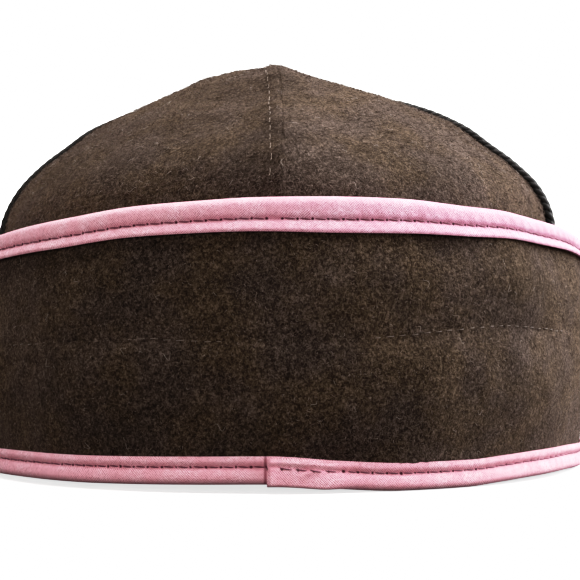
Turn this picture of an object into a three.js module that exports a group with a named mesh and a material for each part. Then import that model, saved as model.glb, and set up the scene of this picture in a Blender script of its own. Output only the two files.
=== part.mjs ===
// A wool cap with a turned-up ear band, resting on its rim.
// Six crown panels, two corded seams, an ear band bound along both edges, and a short peak.
// Millimetres. +Z is up, the peak points along -Y and the back of the head is at +Y.
// Angles run round the head from the centre back, positive towards the wearer's left (+X).
import * as THREE from 'three';

const degrees = Math.PI / 180;
const clothGap = 0.3; // between two pieces that are sewn together

// The crown's hem, which the head goes into: a squarish oval, measured on its outside.
const hem = { halfWidth: 83, halfLength: 104, squareness: 2.2 };

const crown = { thickness: 2, rows: 18, flatAtHem: 0.008, flatAtTop: 0.065, backPower: 1.5 };
const crownPanels = [
  { name: 'panel_back_left', from: 0, to: 75.5, columns: 13 },
  { name: 'panel_side_left', from: 75.5, to: 128, columns: 7 },
  { name: 'panel_front_left', from: 128, to: 180, columns: 7 },
  { name: 'panel_front_right', from: 180, to: 232, columns: 7 },
  { name: 'panel_side_right', from: 232, to: 284.5, columns: 7 },
  { name: 'panel_back_right', from: 284.5, to: 360, columns: 13 },
];

// The crown's outline from the hem to the top. Spread is a share of the hem's size, lean is how far
// that level has slumped towards the wearer's left, seam how far the back seam wanders that way,
// and back how much further the back of the head stands out than the rest of that level.
const crownProfile = [
  { rise: 5, spread: 1, lean: 0, seam: -3, back: 0 },
  { rise: 26, spread: 0.996, lean: 0, seam: -3.5, back: 0 },
  { rise: 48, spread: 0.991, lean: 0, seam: -4, back: 0 },
  { rise: 62, spread: 0.988, lean: 0, seam: -4.3, back: 0 },
  { rise: 69.2, spread: 0.979, lean: 0, seam: -4.4, back: 0 },
  { rise: 75, spread: 0.959, lean: -0.3, seam: -3.9, back: 0 },
  { rise: 80.6, spread: 0.919, lean: -0.4, seam: -3.7, back: 0 },
  { rise: 86.2, spread: 0.857, lean: -0.2, seam: -3.4, back: 0 },
  { rise: 92, spread: 0.773, lean: 0, seam: -3.2, back: 0 },
  { rise: 97.9, spread: 0.683, lean: 0.1, seam: -3, back: 0.6 },
  { rise: 102.6, spread: 0.569, lean: 0.1, seam: -2.7, back: 5.8 },
  { rise: 106.6, spread: 0.438, lean: 2.3, seam: -4.6, back: 14.5 },
  { rise: 110.1, spread: 0.317, lean: 5.2, seam: -6.9, back: 21.2 },
  { rise: 113.1, spread: 0.216, lean: 7, seam: -8, back: 21.8 },
  { rise: 115.6, spread: 0.125, lean: 5.6, seam: -5.4, back: 17.3 },
  { rise: 116.9, spread: 0.07, lean: 4, seam: -3, back: 12.5 },
  { rise: 117.5, spread: 0.03, lean: 2.2, seam: -1.2, back: 6 },
];
const backSeamReach = 40; // degrees round the head over which the cloth follows the wandering seam

// Soft swellings and dents of the crown. Out is how far the cloth moves along its own normal;
// wide and high say how far round the head and how far up it fades away.
const crownFolds = [
  { about: 'hollow over the band beside the back seam', angle: 7, rise: 69, wide: 15, high: 13, out: -3 },
  { about: 'ridge along the back seam', angle: -1.5, rise: 98, wide: 7, high: 18, out: 0.9 },
  { about: 'hollow low on the left back', angle: 32, rise: 70, wide: 20, high: 12, out: -1.5 },
  { about: 'full right back', angle: -38, rise: 92, wide: 24, high: 16, out: 1.6 },
  { about: 'swelling right of the top', angle: -76, rise: 108, wide: 26, high: 4, out: 0.6 },
  { about: 'swelling left of the top', angle: 78, rise: 117, wide: 48, high: 9, out: 1.2 },
  { about: 'dent in the front', angle: 160, rise: 102, wide: 24, high: 13, out: -2.4 },
];

// Twisted cords laid on the two seams behind the ears, thinned out towards both ends.
const cord = { lowRadius: 1.6, highRadius: 0.95, endRadius: 0.5, thinnedShare: 0.1, sides: 8, from: 0.24, steps: 30 };
const seamCords = [
  { name: 'seam_cord_left', angle: 75.5, to: 0.75 },
  { name: 'seam_cord_right', angle: -75.5, to: 0.8 },
];

// The band's wall swells between its edges, and is drawn in towards the hem at its foot.
const band = {
  thickness: 2.2,
  standOff: { back: 1.7, side: 4.3 }, // of its inner face from the hem, at its foot
  flare: { back: -0.6, side: 1, height: 66 },
  bulge: 1.6,
  drawIn: { by: 2.6, height: 20 },
  segments: 72,
};
// The bound edges of the ear band round the head: the height of the upper and of the lower one,
// and how far down the upper binding covers the cloth.
const bandEdges = [
  { angle: -180, top: 44, bottom: 12.8, bound: 6.6 },
  { angle: -162, top: 44.6, bottom: 11.6, bound: 6.6 },
  { angle: -142, top: 46.2, bottom: 9, bound: 6.6 },
  { angle: -124, top: 48.6, bottom: 5.4, bound: 6.6 },
  { angle: -112, top: 51, bottom: 0, bound: 6.6 },
  { angle: -76, top: 61.9, bottom: 0, bound: 6.6 },
  { angle: -58, top: 66.9, bottom: 1, bound: 6.7 },
  { angle: -48, top: 68.4, bottom: 0.9, bound: 7.1 },
  { angle: -39, top: 69.9, bottom: 0.5, bound: 7.5 },
  { angle: -32, top: 70.3, bottom: 0, bound: 7.9 },
  { angle: -20, top: 71.5, bottom: 0, bound: 8.8 },
  { angle: -10, top: 71.7, bottom: 1.1, bound: 9.1 },
  { angle: 0, top: 71.5, bottom: 2, bound: 8.6 },
  { angle: 10, top: 70.6, bottom: 1.8, bound: 8.1 },
  { angle: 20, top: 69.6, bottom: 1.5, bound: 7.9 },
  { angle: 31, top: 67.6, bottom: 1.2, bound: 7.8 },
  { angle: 45, top: 65.3, bottom: 1.1, bound: 7.4 },
  { angle: 58, top: 62.6, bottom: 0.7, bound: 6.9 },
  { angle: 76, top: 58.4, bottom: 0, bound: 6.6 },
  { angle: 112, top: 51, bottom: 0, bound: 6.6 },
  { angle: 124, top: 48.6, bottom: 5.4, bound: 6.6 },
  { angle: 142, top: 46.2, bottom: 9, bound: 6.6 },
  { angle: 162, top: 44.6, bottom: 11.6, bound: 6.6 },
  { angle: 180, top: 44, bottom: 12.8, bound: 6.6 },
];

const binding = { wall: 0.9, lowerBound: 7, swell: 0.35 };
// The lower binding's folded end, which lies over its own start at the centre back.
const lap = { from: -9.2, to: -0.2, wall: 0.7, short: 0.5, steps: 6 };

const peak = {
  thickness: 3.2,
  rootHalfAngle: 56,
  rootGap: 1.3,
  length: 54,
  rimSquareness: 2.35,
  cornerWidth: 1.4,
  rootHeight: { corner: 2.3, middle: 9.6 }, // of the cloth's middle layer
  rimHeight: { corner: 1.8, middle: 6.4 },
  arch: 1.3,
  columns: 28,
  rows: 6,
};

const { lerp } = THREE.MathUtils;

function flatList(points) {
  return points.flatMap((point) => [point.x, point.y, point.z]);
}

// A closed body from its corner points and four-sided faces, turned so that the faces look out.
function solid(points, quads) {
  let volume = 0;
  const faces = quads.flatMap(([a, b, c, d]) => [[a, b, c], [a, c, d]]);
  for (const [a, b, c] of faces) {
    volume += points[a].dot(new THREE.Vector3().crossVectors(points[b], points[c]));
  }
  const outward = volume < 0 ? faces.map(([a, b, c]) => [a, c, b]) : faces;
  const geometry = new THREE.BufferGeometry();
  geometry.setAttribute('position', new THREE.Float32BufferAttribute(flatList(points), 3));
  geometry.setIndex(outward.flat());
  geometry.computeVertexNormals();
  return geometry;
}

// Closed sections joined into a ring that runs once round the head.
function ring(sections) {
  const size = sections[0].length;
  const quads = sections.flatMap((section, i) =>
    section.map((_, j) => {
      const [here, next] = [i * size, ((i + 1) % sections.length) * size];
      const k = (j + 1) % size;
      return [here + j, here + k, next + k, next + j];
    }),
  );
  return solid(sections.flat(), quads);
}

// Closed sections of an even number of points, joined into a body with two ends.
function tube(sections) {
  const size = sections[0].length;
  const quads = [];
  for (let i = 0; i < sections.length - 1; i++) {
    for (let j = 0; j < size; j++) {
      const k = (j + 1) % size;
      quads.push([i * size + j, i * size + k, (i + 1) * size + k, (i + 1) * size + j]);
    }
  }
  const far = (sections.length - 1) * size;
  for (let j = 1; j < size - 1; j += 2) {
    quads.push([0, j + 2, j + 1, j]);
    quads.push([far, far + j, far + j + 1, far + j + 2]);
  }
  return solid(sections.flat(), quads);
}

// A sheet between two grids of points that have the same rows and columns.
function sheet(outer, inner) {
  const [rows, columns] = [outer.length, outer[0].length];
  const at = (side, i, j) => (side * rows + i) * columns + j;
  const quads = [];
  for (let i = 0; i < rows - 1; i++) {
    for (let j = 0; j < columns - 1; j++) {
      quads.push([at(0, i, j), at(0, i, j + 1), at(0, i + 1, j + 1), at(0, i + 1, j)]);
      quads.push([at(1, i, j), at(1, i + 1, j), at(1, i + 1, j + 1), at(1, i, j + 1)]);
    }
  }
  const last = { i: rows - 1, j: columns - 1 };
  for (let i = 0; i < last.i; i++) {
    quads.push([at(0, i, 0), at(0, i + 1, 0), at(1, i + 1, 0), at(1, i, 0)]);
    quads.push([at(0, i, last.j), at(1, i, last.j), at(1, i + 1, last.j), at(0, i + 1, last.j)]);
  }
  for (let j = 0; j < last.j; j++) {
    quads.push([at(0, 0, j), at(1, 0, j), at(1, 0, j + 1), at(0, 0, j + 1)]);
    quads.push([at(0, last.i, j), at(0, last.i, j + 1), at(1, last.i, j + 1), at(1, last.i, j)]);
  }
  return solid([...outer.flat(), ...inner.flat()], quads);
}

function grid(rows, columns, point) {
  return Array.from({ length: rows + 1 }, (_, i) =>
    Array.from({ length: columns + 1 }, (__, j) => point(i / rows, j / columns)),
  );
}

// A column of a table at a value of its first column, by a smooth curve that never passes beyond its rows.
function tableValue(rows, first, value, column) {
  const at = THREE.MathUtils.clamp(value, rows[0][first], rows[rows.length - 1][first]);
  const after = Math.max(rows.findIndex((row) => at <= row[first]), 1);
  const rise = (i) => {
    const [a, b] = [rows[i - 1], rows[i]];
    return a && b ? (b[column] - a[column]) / (b[first] - a[first]) : 0;
  };
  const slope = (i) => (rise(i) * rise(i + 1) > 0 ? 2 / (1 / rise(i) + 1 / rise(i + 1)) : 0);
  const [a, b] = [rows[after - 1], rows[after]];
  const step = b[first] - a[first];
  const s = (at - a[first]) / step;
  const fromA = (1 + 2 * s) * (1 - s) ** 2 * a[column] + s * (1 - s) ** 2 * step * slope(after - 1);
  const fromB = s * s * (3 - 2 * s) * b[column] + s * s * (s - 1) * step * slope(after);
  return fromA + fromB;
}

// The signed turn from one direction round the head to another, within half a turn.
function turnBetween(angle, from) {
  return THREE.MathUtils.euclideanModulo(angle - from + 180, 360) - 180;
}

// A share of -1 to 1 bent so that circles become squarish ovals.
function squarish(share) {
  return Math.sign(share) * Math.abs(share) ** (2 / hem.squareness);
}

// A point on the hem's outline, scaled by spread, and the outline's outward direction there.
function hemPoint(angle, spread) {
  const across = squarish(Math.sin(angle * degrees));
  const along = squarish(Math.cos(angle * degrees));
  const power = hem.squareness - 1;
  const out = new THREE.Vector3(
    (Math.sign(across) * Math.abs(across) ** power) / hem.halfWidth,
    (Math.sign(along) * Math.abs(along) ** power) / hem.halfLength,
    0,
  );
  const point = new THREE.Vector3(hem.halfWidth * across * spread, hem.halfLength * along * spread, 0);
  return { point, out: out.normalize() };
}

// A point beside the hem's outline, moved out horizontally and up.
function besideHem(angle, outBy, height) {
  const { point, out } = hemPoint(angle, 1);
  point.addScaledVector(out, outBy);
  point.z = height;
  return point;
}

const profileCurve = new THREE.CatmullRomCurve3(
  crownProfile.map((row) => new THREE.Vector3(row.spread * hem.halfWidth, row.lean, row.rise)),
);

// Where an angle lies across its panel: -1 and 1 are the seams, 0 the panel's middle.
function acrossPanel(angle) {
  const turned = THREE.MathUtils.euclideanModulo(angle, 360);
  const { from, to } = crownPanels.find((panel) => turned <= panel.to);
  return (2 * (turned - from)) / (to - from) - 1;
}

// The crown's outer surface before its folds. Along is 0 at the hem and 1 at the top;
// flatness is 1 for panels stretched between their seams, 0 for an evenly rounded crown.
function plainCrownPoint(angle, along, flatness) {
  const { x: reach, y: lean, z: rise } = profileCurve.getPointAt(THREE.MathUtils.clamp(along, 0, 1));
  const spread = reach / hem.halfWidth;
  const flat = flatness * lerp(crown.flatAtTop, crown.flatAtHem, Math.min(spread, 1));
  const { point } = hemPoint(angle, spread * (1 - flat * (1 - acrossPanel(angle) ** 2)));
  const nearSeam = Math.exp(-((turnBetween(angle, 0) / backSeamReach) ** 2));
  const wander = tableValue(crownProfile, 'rise', rise, 'seam') * nearSeam;
  const backward = Math.max(Math.cos(angle * degrees), 0) ** crown.backPower;
  const fuller = tableValue(crownProfile, 'rise', rise, 'back') * backward;
  return point.add(new THREE.Vector3(lean + wander, fuller, rise));
}

function crownNormal(angle, along) {
  const [alongStep, angleStep] = [0.01, 1];
  const up = plainCrownPoint(angle, along + alongStep, 0).sub(plainCrownPoint(angle, along - alongStep, 0));
  const round = plainCrownPoint(angle + angleStep, along, 0).sub(plainCrownPoint(angle - angleStep, along, 0));
  return up.cross(round).normalize();
}

// A point of the crown, moved out from its outer surface by the folds and by lift.
function crownPoint(angle, along, lift) {
  const point = plainCrownPoint(angle, along, 1);
  const folds = crownFolds.map((fold) => {
    const round = turnBetween(angle, fold.angle) / fold.wide;
    const high = (point.z - fold.rise) / fold.high;
    return fold.out * Math.exp(-(round ** 2) - high ** 2);
  });
  const out = folds.reduce((sum, share) => sum + share, lift);
  return point.addScaledVector(crownNormal(angle, along), out);
}

function crownPanel({ from, to, columns }) {
  const layer = (lift) =>
    grid(crown.rows, columns, (along, across) => {
      const reach = profileCurve.getPointAt(along).x;
      const gapAngle = clothGap / 2 / reach / degrees;
      return crownPoint(lerp(from + gapAngle, to - gapAngle, across), along, lift);
    });
  return sheet(layer(0), layer(-crown.thickness));
}

// A cord laid on a crown seam, from behind the band's upper edge towards the top.
function seamCord({ angle, to }) {
  const radiusAt = (share) => {
    const fromEnd = Math.min(share, 1 - share) / cord.thinnedShare;
    const radius = lerp(cord.lowRadius, cord.highRadius, share);
    return lerp(cord.endRadius, radius, THREE.MathUtils.smoothstep(fromEnd, 0, 1));
  };
  const route = Array.from({ length: cord.steps + 1 }, (_, i) => {
    const share = i / cord.steps;
    return crownPoint(angle, lerp(cord.from, to, share), radiusAt(share) + clothGap);
  });
  const { normals, binormals } = new THREE.CatmullRomCurve3(route).computeFrenetFrames(cord.steps, false);
  const sections = route.map((center, i) =>
    Array.from({ length: cord.sides }, (_, j) => {
      const turn = (2 * Math.PI * j) / cord.sides;
      const radius = radiusAt(i / cord.steps);
      const point = center.clone().addScaledVector(normals[i], radius * Math.cos(turn));
      return point.addScaledVector(binormals[i], radius * Math.sin(turn));
    }),
  );
  return tube(sections);
}

function bandEdge(angle, column) {
  return tableValue(bandEdges, 'angle', turnBetween(angle, 0), column);
}

// How far the inner face of the band stands off the hem's outline at a height.
function bandReach(angle, height) {
  const sideways = Math.sin(angle * degrees) ** 2;
  const standOff = lerp(band.standOff.back, band.standOff.side, sideways);
  const flare = lerp(band.flare.back, band.flare.side, sideways);
  const share = height / band.flare.height;
  const drawn = band.drawIn.by * (1 - Math.exp(-((height / band.drawIn.height) ** 2)));
  return standOff + flare * share + band.bulge * 4 * share * (1 - share) + drawn;
}

// Places points given as [distance out from the band's inner face, distance in from an edge].
function atBandEdge(angle, edge, points) {
  const inwards = edge === 'top' ? -1 : 1;
  return points.map(([out, depth]) => {
    const height = bandEdge(angle, edge) + inwards * depth;
    return besideHem(angle, bandReach(angle, height) + out, height);
  });
}

function roundTheHead(section) {
  return ring(Array.from({ length: band.segments }, (_, i) => section((360 * i) / band.segments)));
}

// The wool wall of the ear band, whose edges lie inside its two bindings.
function bandSection(angle) {
  const inset = binding.wall + clothGap;
  const low = bandEdge(angle, 'bottom') + inset;
  const high = bandEdge(angle, 'top') - inset;
  const levels = [0, 0.15, 0.35, 0.65, 1].map((share) => lerp(low, high, share));
  const face = (out) => levels.map((height) => besideHem(angle, bandReach(angle, height) + out, height));
  return [...face(band.thickness), ...face(0).reverse()];
}

// A strip folded over an edge of the band. Bound is how far it comes down each side.
function bindingSection(angle, edge, bound) {
  const { wall, swell } = binding;
  const [outside, inside] = [band.thickness + clothGap, -clothGap];
  return atBandEdge(angle, edge, [
    [outside + wall, bound],
    [outside + wall + swell, bound * 0.45],
    [outside + wall * 0.6, wall * 0.5],
    [band.thickness * 0.75, 0],
    [band.thickness * 0.25, 0],
    [inside - wall * 0.6, wall * 0.5],
    [inside - wall, bound],
    [inside, bound],
    [inside, wall],
    [outside, wall],
    [outside, bound],
  ]);
}

// The lapped end wraps the lower binding from its outer face to under the edge.
function bindingLap() {
  const { wall, swell } = binding;
  const face = band.thickness + clothGap + wall + clothGap;
  const top = binding.lowerBound - lap.short;
  const wrap = (out) => [
    [face + out, top],
    [face + swell + out, binding.lowerBound * 0.45],
    [face + out, out === 0 ? wall * 0.3 : -clothGap],
    [band.thickness * 0.9, -clothGap - out],
    [band.thickness * 0.1, -clothGap - out],
  ];
  const layer = (out) =>
    Array.from({ length: lap.steps + 1 }, (_, i) =>
      atBandEdge(lerp(lap.from, lap.to, i / lap.steps), 'bottom', wrap(out)),
    );
  return sheet(layer(lap.wall), layer(0));
}

// A stiff crescent that leaves the front of the hem and bends down towards its corners.
function peakShape() {
  const corner = besideHem(180 - peak.rootHalfAngle, peak.rootGap, 0);
  const front = -hem.halfLength - peak.length;
  const bend = 2 / peak.rimSquareness;
  const layer = (lift) =>
    grid(peak.rows, peak.columns, (forward, across) => {
      const turn = lerp(-1, 1, across);
      const share = Math.max(Math.cos((turn * Math.PI) / 2), 0);
      const side = Math.sin((turn * Math.PI) / 2);
      const root = besideHem(180 + turn * peak.rootHalfAngle, peak.rootGap, 0);
      const rim = new THREE.Vector3(
        -Math.sign(side) * corner.x * Math.abs(side) ** bend,
        lerp(corner.y - peak.cornerWidth, front, share ** bend),
        0,
      );
      root.z = lerp(peak.rootHeight.corner, peak.rootHeight.middle, share ** 2);
      rim.z = lerp(peak.rimHeight.corner, peak.rimHeight.middle, share ** 2);
      const point = root.lerp(rim, forward);
      point.z += peak.arch * Math.sin(Math.PI * forward) * share + lift;
      return point;
    });
  return sheet(layer(peak.thickness / 2), layer(-peak.thickness / 2));
}

const wool = new THREE.MeshStandardMaterial({ color: 0x4a3d35, roughness: 0.95, metalness: 0 });
const pinkCotton = new THREE.MeshStandardMaterial({ color: 0xd69bb8, roughness: 0.85, metalness: 0 });
const darkCord = new THREE.MeshStandardMaterial({ color: 0x171412, roughness: 0.8, metalness: 0 });

const cap = new THREE.Group();

function add(name, geometry, material) {
  const mesh = new THREE.Mesh(geometry, material);
  mesh.name = name;
  cap.add(mesh);
}

crownPanels.forEach((panel) => add(panel.name, crownPanel(panel), wool));
seamCords.forEach((seam) => add(seam.name, seamCord(seam), darkCord));
add('ear_band', roundTheHead(bandSection), wool);
add('binding_upper', roundTheHead((angle) => bindingSection(angle, 'top', bandEdge(angle, 'bound'))), pinkCotton);
add('binding_lower', roundTheHead((angle) => bindingSection(angle, 'bottom', binding.lowerBound)), pinkCotton);
add('binding_lower_lap', bindingLap(), pinkCotton);
add('peak', peakShape(), wool);

// The origin lies under the middle of the cap, on the surface that it rests on.
const middle = new THREE.Box3().setFromObject(cap).getCenter(new THREE.Vector3());
cap.position.set(-middle.x, -middle.y, 0);
const part = new THREE.Group().add(cap);

export default part;
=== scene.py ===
import math
import bpy
import numpy as np
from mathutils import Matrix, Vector


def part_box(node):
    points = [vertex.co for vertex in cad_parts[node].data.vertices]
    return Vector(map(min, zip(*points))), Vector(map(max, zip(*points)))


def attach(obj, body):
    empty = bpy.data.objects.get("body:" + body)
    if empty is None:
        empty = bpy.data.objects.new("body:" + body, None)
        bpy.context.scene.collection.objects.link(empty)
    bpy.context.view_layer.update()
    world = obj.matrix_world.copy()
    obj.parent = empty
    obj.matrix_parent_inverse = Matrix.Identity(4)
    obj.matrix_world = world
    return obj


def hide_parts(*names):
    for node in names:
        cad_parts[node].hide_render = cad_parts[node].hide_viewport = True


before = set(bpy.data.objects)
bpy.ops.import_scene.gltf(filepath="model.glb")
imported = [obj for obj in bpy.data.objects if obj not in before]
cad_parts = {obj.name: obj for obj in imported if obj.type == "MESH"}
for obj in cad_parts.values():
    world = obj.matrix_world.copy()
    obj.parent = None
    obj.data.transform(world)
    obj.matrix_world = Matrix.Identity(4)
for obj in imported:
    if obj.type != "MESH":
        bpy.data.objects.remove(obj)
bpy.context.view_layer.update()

# Everything is worked out in millimetres round the middle of the head opening, with the back of
# the head at +Y, and moved into the frame's metres when a mesh is made.
# Angles run round the head from the centre back, positive towards the wearer's left (+X).
dice = np.random.default_rng(27)


# measures that several pieces share

cap = {
    "halfWidth": 83, "halfLength": 104, "squareness": 2.2,     # outside of the hem
    "peakLength": 54,
}

crown = {
    "thickness": 2.0,
    "flatAtHem": 0.008, "flatAtTop": 0.065,      # how far panels are stretched flat between seams
    "seams": [0, 75.5, 128, 180, 232, 284.5, 360],
    "seamReach": 40,                             # degrees over which the cloth follows the back seam
    # rise, spread, lean towards the left, wander of the back seam, how much fuller the back stands
    "profile": [
        (5, 1, 0, -3, 0), (26, 0.996, 0, -3.5, 0), (48, 0.991, 0, -4, 0), (62, 0.988, 0, -4.3, 0),
        (69.2, 0.979, 0, -4.4, 0), (75, 0.959, -0.3, -3.9, 0), (80.6, 0.919, -0.4, -3.7, 0),
        (86.2, 0.857, -0.2, -3.4, 0), (92, 0.773, 0, -3.2, 0), (97.9, 0.683, 0.1, -3, 0.6),
        (102.6, 0.569, 0.1, -2.7, 5.8), (106.6, 0.438, 2.3, -4.6, 14.5), (110.1, 0.317, 5.2, -6.9, 21.2),
        (113.1, 0.216, 7, -8, 21.8), (115.6, 0.125, 5.6, -5.4, 17.3), (116.9, 0.07, 4, -3, 12.5),
        (117.5, 0.03, 2.2, -1.2, 6)],
    "tip": (117.8, 0.004, 0.7, 0, 0),
    "backPower": 1.5,
    # along the back seam: height, how far to either side, and between which heights it rises and fades
    "ridge": {"high": 4.0, "reach": 42, "from": 58, "full": 70, "fades": 84, "gone": 108},
    # angle, rise, width in degrees, height, out
    "folds": [
        (7, 69, 15, 13, -3.0), (-1.5, 98, 7, 18, 0.9), (32, 70, 20, 12, -1.5), (-38, 92, 24, 16, 1.6),
        (-76, 108, 26, 4, 0.6), (78, 117, 48, 9, 1.2), (160, 102, 24, 13, -2.4)],
}

band = {
    "thickness": 2.2,
    "backStandOff": 1.7, "sideStandOff": 4.3,
    "backFlare": -0.6, "sideFlare": 1.0, "flareHeight": 66,
    "bulge": 1.6, "drawIn": 2.6, "drawHeight": 20,     # the wall swells, and is drawn in at its foot
    # angle, upper edge, lower edge, how far the upper binding comes down
    "edges": [
        (-180, 44, 12.8, 6.6), (-162, 44.6, 11.6, 6.6), (-142, 46.2, 9, 6.6), (-124, 48.6, 5.4, 6.6),
        (-112, 51, 0, 6.6), (-76, 61.9, 0, 6.6), (-58, 66.9, 1, 6.7), (-48, 68.4, 0.9, 7.1),
        (-39, 69.9, 0.5, 7.5), (-32, 70.3, 0, 7.9), (-20, 71.5, 0, 8.8), (-10, 71.7, 0.8, 9.1),
        (0, 71.5, 2, 8.6), (10, 70.6, 1.8, 8.1), (20, 69.6, 1.5, 7.9), (31, 67.6, 1.2, 7.8),
        (45, 65.3, 1.1, 7.4), (58, 62.6, 0.7, 6.9), (76, 58.4, 0, 6.6), (112, 51, 0, 6.6),
        (124, 48.6, 5.4, 6.6), (142, 46.2, 9, 6.6), (162, 44.6, 11.6, 6.6), (180, 44, 12.8, 6.6)],
    # height, how far the padded wall swells there, fully so round one angle and less elsewhere
    "swell": [(0, 0), (8, 0), (16, 0.8), (25, 1.4), (31, 1.5), (40, 0.3), (52, 1.1), (64, -1), (72, -1.6)],
    "swellAngle": -38, "swellWidth": 30, "swellElsewhere": 0.3,
    # angle, share of the band's height at which its two layers are quilted together
    "quiltLine": [(-180, 0.52), (-60, 0.57), (-38, 0.573), (-15, 0.52), (0, 0.5), (30, 0.53), (60, 0.53),
                  (180, 0.52)],
}
clothGap = 0.3

peakLow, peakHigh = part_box("peak")
peakTip = peakLow.y * 1000
middle = np.array([(peakLow.x + peakHigh.x) * 500, peakTip + cap["halfLength"] + cap["peakLength"], 0])


# small tools: numbers

def smooth(low, high, x):
    t = np.clip((np.asarray(x, float) - low) / (high - low), 0, 1)
    return t * t * (3 - 2 * t)


def bell(x, width):
    return np.exp(-(np.asarray(x, float) / width) ** 2)


def rounded(share):                    # a quarter of a circle: 0 at the edge, 1 from share 1 on
    return np.sqrt(np.clip(1 - (1 - np.clip(share, 0, 1)) ** 2, 0, 1))


def between(a, b, share):
    return a + (b - a) * share


def turnBetween(angle, start=0.0):
    return (np.asarray(angle, float) - start + 180) % 360 - 180


def tableValue(rows, column, at):      # a smooth curve through a table that never passes beyond its rows
    rows = np.array(rows, float)
    x, y = rows[:, 0], rows[:, column]
    step = np.diff(x)
    rise = np.diff(y) / step
    slope = np.zeros(len(x))
    same = rise[:-1] * rise[1:] > 0
    slope[1:-1][same] = 2 / (1 / rise[:-1][same] + 1 / rise[1:][same])
    at = np.clip(at, x[0], x[-1])
    i = np.clip(np.searchsorted(x, at) - 1, 0, len(step) - 1)
    s = (at - x[i]) / step[i]
    left = (1 + 2 * s) * (1 - s) ** 2 * y[i] + s * (1 - s) ** 2 * step[i] * slope[i]
    right = s * s * (3 - 2 * s) * y[i + 1] + s * s * (s - 1) * step[i] * slope[i + 1]
    return left + right


def unit(vectors):
    return vectors / np.maximum(np.linalg.norm(vectors, axis=-1, keepdims=True), 1e-9)


def ripples(points, size, waves=22):   # a cloudy unevenness of about -1 to 1, size in mm
    total = np.zeros(points.shape[:-1])
    for _ in range(waves):
        heading = unit(dice.normal(size=3))
        pace = 2 * math.pi / size * dice.uniform(0.6, 1.5)
        total += np.sin(points @ heading * pace + dice.uniform(0, 2 * math.pi))
    return total / math.sqrt(waves)


def lengthAlong(points, axis):         # distance in mm along one direction of a grid of points
    steps = np.linalg.norm(np.diff(points, axis=axis), axis=-1)
    return np.insert(np.cumsum(steps, axis=axis), 0, 0, axis=axis)


# small tools: meshes; each piece is smooth, rides on the cap's only body and has its own slot

triangles = {}


def addObject(name, data):
    made = bpy.data.objects.new(name, data)
    bpy.context.scene.collection.objects.link(made)
    return made


def makeMesh(name, points, faces, material, cloth=None, around=None):
    points = (np.asarray(points).reshape(-1, 3) + middle) / 1000
    mesh = bpy.data.meshes.new(name)
    mesh.from_pydata(points.tolist(), [], faces)
    if cloth is not None:              # where each point lies on the flat cloth, in mm
        corners = np.zeros(len(mesh.loops), int)
        mesh.loops.foreach_get("vertex_index", corners)
        layer = mesh.uv_layers.new(name="cloth")
        flat = np.asarray(cloth, float).reshape(-1, 2)[corners]
        if around:                     # the faces that close a ring carry the pattern on
            across = flat[:, 0].reshape(-1, 4)
            far = np.ptp(across, axis=1, keepdims=True) > around / 2
            flat[:, 0] = (across + around * (far & (across < around / 2))).ravel()
        layer.data.foreach_set("uv", flat.ravel())
    mesh.polygons.foreach_set("use_smooth", [True] * len(mesh.polygons))
    mesh.update()
    piece = addObject(name, mesh)
    mesh.materials.append(material)
    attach(piece, "root")
    triangles[name] = sum(len(face) - 2 for face in faces)
    return piece


def gridFaces(index):
    corners = [index[:-1, :-1], index[:-1, 1:], index[1:, 1:], index[1:, :-1]]
    return np.stack(corners, -1).reshape(-1, 4)


def facingOut(points, faces):          # turns the faces of a closed body so that they look out
    a, b, c, d = (points[faces[:, k]] for k in range(4))
    volume = np.einsum("ij,ij->", a, np.cross(b, c)) + np.einsum("ij,ij->", a, np.cross(c, d))
    return (faces[:, ::-1] if volume < 0 else faces).tolist()


def sheetBody(outer, inner):           # two grids of points and the rim between them
    rows, columns = outer.shape[:2]
    index = np.arange(rows * columns).reshape(rows, columns)
    rim = np.concatenate([index[0, :-1], index[:-1, -1], index[-1, :0:-1], index[:0:-1, 0]])
    after = np.roll(rim, -1)
    under = rows * columns
    sides = np.stack([after, rim, rim + under, after + under], -1)
    faces = np.vstack([gridFaces(index), gridFaces(index)[:, ::-1] + under, sides])
    points = np.vstack([outer.reshape(-1, 3), inner.reshape(-1, 3)])
    return points, facingOut(points, faces)


def ringBody(sections):                # closed sections joined once round the head
    rows, size = sections.shape[:2]
    index = np.arange(rows * size).reshape(rows, size)
    index = np.hstack([index, index[:, :1]])
    index = np.vstack([index, index[:1]])
    points = sections.reshape(-1, 3)
    return points, facingOut(points, gridFaces(index))


def tubeBodies(lines, radii, up, sides):        # many closed tubes at once, one for each line
    ahead = unit(np.gradient(lines, axis=1))
    side = unit(np.cross(ahead, up))
    top = np.cross(side, ahead)
    turn = (np.arange(sides) * 2 * math.pi / sides)[:, None]
    spoke = np.cos(turn) * side[:, :, None] + np.sin(turn) * top[:, :, None]
    points = lines[:, :, None] + radii[:, :, None, None] * spoke
    index = np.arange(points[..., 0].size).reshape(points.shape[:3])
    after = np.roll(index, -1, axis=2)
    walls = np.stack([index[:, :-1], index[:, 1:], after[:, 1:], after[:, :-1]], -1)
    faces = walls.reshape(-1, 4).tolist() + index[:, 0].tolist() + index[:, -1, ::-1].tolist()
    return points.reshape(-1, 3), faces


def scatter(grid, count, keep=None):   # points spread evenly over a grid, with normals and upward directions
    a, b, c = grid[:-1, :-1], grid[:-1, 1:], grid[1:, :-1]
    area = np.linalg.norm(np.cross(b - a, c - a), axis=-1)
    if keep is not None:
        area = area * keep[:-1, :-1]
    cell = dice.choice(area.size, count, p=(area / area.sum()).ravel())
    i, j = np.unravel_index(cell, area.shape)
    s, t = dice.random((2, count, 1))
    lower = between(grid[i, j], grid[i, j + 1], s)
    upper = between(grid[i + 1, j], grid[i + 1, j + 1], s)
    rise = unit(upper - lower)
    normal = unit(np.cross(grid[i, j + 1] - grid[i, j], rise))
    return between(lower, upper, t), normal, rise


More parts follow.
